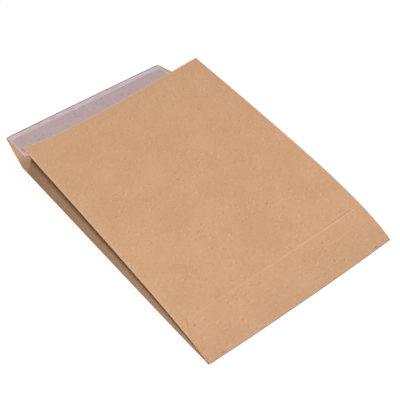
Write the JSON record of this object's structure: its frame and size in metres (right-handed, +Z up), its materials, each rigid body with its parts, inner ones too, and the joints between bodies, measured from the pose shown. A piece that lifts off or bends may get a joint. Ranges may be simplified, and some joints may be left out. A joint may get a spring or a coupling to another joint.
{
  "type": "gusseted envelope",
  "caption": "Large kraft paper envelope with V-folded side gussets, a folded and glued bottom flap, and an open closing flap with a peel-and-seal strip, lying open at the mouth.",
  "frame": {"origin": "on the table under the middle of the envelope's full length, from the bottom fold to the flap's tip", "axes": "+Y from the bottom fold towards the mouth and the flap's tip, +X across the envelope towards the side with the inside seam, +Z up from the table"},
  "size_m": [0.24, 0.387, 0.039],
  "materials": {
    "kraft_paper": "matte",
    "adhesive": "tacky",
    "liner_paper": "satin"
  },
  "bodies": {
    "root": {"folded_paper": "kraft_paper", "adhesive_band": "adhesive", "release_liner": "liner_paper"}
  },
  "joints": []
}
